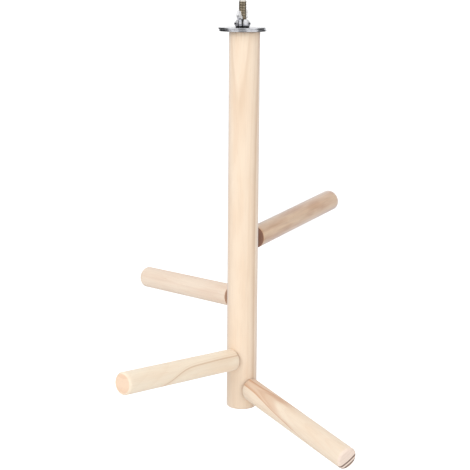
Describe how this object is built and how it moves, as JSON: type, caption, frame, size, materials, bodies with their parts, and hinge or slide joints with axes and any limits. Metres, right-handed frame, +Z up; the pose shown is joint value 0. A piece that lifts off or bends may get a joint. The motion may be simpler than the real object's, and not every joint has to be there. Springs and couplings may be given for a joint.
{
  "type": "bird perch",
  "caption": "Hanging bird perch: a round pine pole with dowel perches that climb round it, and a threaded clamp of washers and a wing nut at its top.",
  "frame": {"origin": "on the bolt's axis in the clamp plane, where the lower and the upper washer meet", "axes": "+Z up along the pole and the bolt, away from the pole; -Y toward the viewer of the picture and +X to their right"},
  "size_m": [0.1842, 0.2267, 0.3512],
  "materials": {
    "pole_pine": "sanded bare pine, pale, straight grain along the pole",
    "perch_pine": "sanded bare pine dowel with bold growth lines, end grain at the tip",
    "screw_steel": "zinc-plated wood screw",
    "bolt_steel": "threaded steel with a faint oil-brown tint",
    "washer_zinc": "bright zinc-plated stamping",
    "nut_zinc": "bright zinc-plated casting"
  },
  "bodies": {
    "stand": {"pole": "pole_pine", "perch_1": "perch_pine", "perch_2": "perch_pine", "perch_3": "perch_pine", "perch_4": "perch_pine", "perch_screw_1": "screw_steel", "perch_screw_2": "screw_steel", "perch_screw_3": "screw_steel", "perch_screw_4": "screw_steel", "hanger_bolt": "bolt_steel", "lower_washer": "washer_zinc"},
    "clamp_washer": {"upper_washer": "washer_zinc"},
    "nut": {"wing_nut": "nut_zinc"}
  },
  "joints": [
    {"name": "washer_lift", "type": "slide", "parent": "stand", "child": "clamp_washer", "axis": [0, 0, 1], "range_m": [0, 0.0121]},
    {"name": "nut_turn", "type": "hinge", "parent": "clamp_washer", "child": "nut", "pos_m": [0, 0, 0], "axis": [0, 0, 1], "range_deg": [0, 3420]}
  ],
  "couplings": [
    {"joint": "washer_lift", "follows": "nut_turn", "m_per_rad": 0.00020213}
  ]
}
